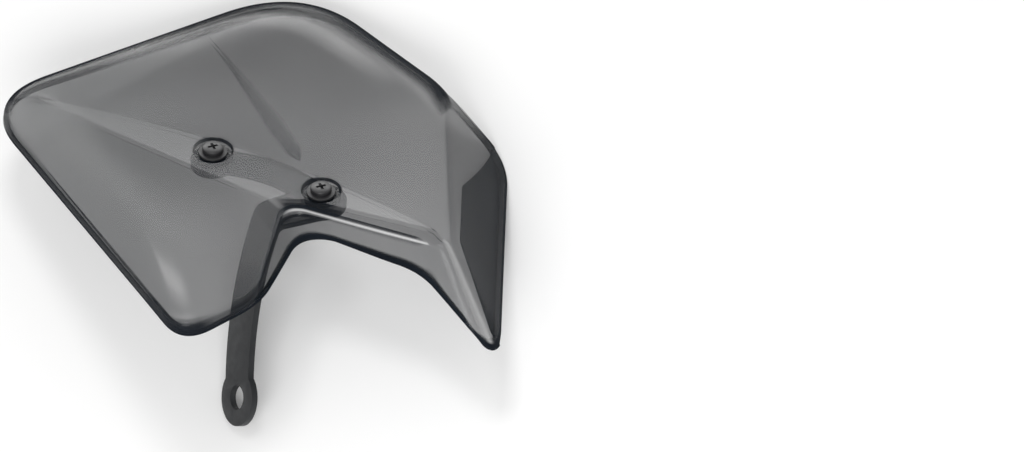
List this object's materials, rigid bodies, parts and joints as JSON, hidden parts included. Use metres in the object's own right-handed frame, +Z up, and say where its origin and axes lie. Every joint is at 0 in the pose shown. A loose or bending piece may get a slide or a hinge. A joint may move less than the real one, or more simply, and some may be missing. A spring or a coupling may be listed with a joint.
{
  "type": "motorcycle hand guard",
  "caption": "Left hand guard: a smoked moulded shield with a folded rim and a wing, screwed to a bent steel bracket whose eye goes under a mirror stem.",
  "frame": {"origin": "centre of the bore of the bracket's eye, half-way through the steel", "axes": "+Z up from the bench the guard rests on, +X towards the outer wing, +Y from the eye towards the crown of the shield"},
  "size_m": [0.2202, 0.2164, 0.1053],
  "materials": {
    "smoked_shield": "smoked translucent moulding, glossy",
    "bracket_steel": "satin black coating",
    "screw_black": "black, slightly glossy",
    "cushion_nylon": "matt black",
    "pad_rubber": "matt black",
    "zinc_steel": "zinc plated"
  },
  "bodies": {
    "root": {"shield": "smoked_shield", "bracket": "bracket_steel", "screw_1": "screw_black", "screw_2": "screw_black", "cushion_washer_1": "cushion_nylon", "cushion_washer_2": "cushion_nylon", "rubber_pad_1": "pad_rubber", "rubber_pad_2": "pad_rubber", "plain_washer_1": "zinc_steel", "plain_washer_2": "zinc_steel", "nut_1": "zinc_steel", "nut_2": "zinc_steel"}
  },
  "joints": []
}
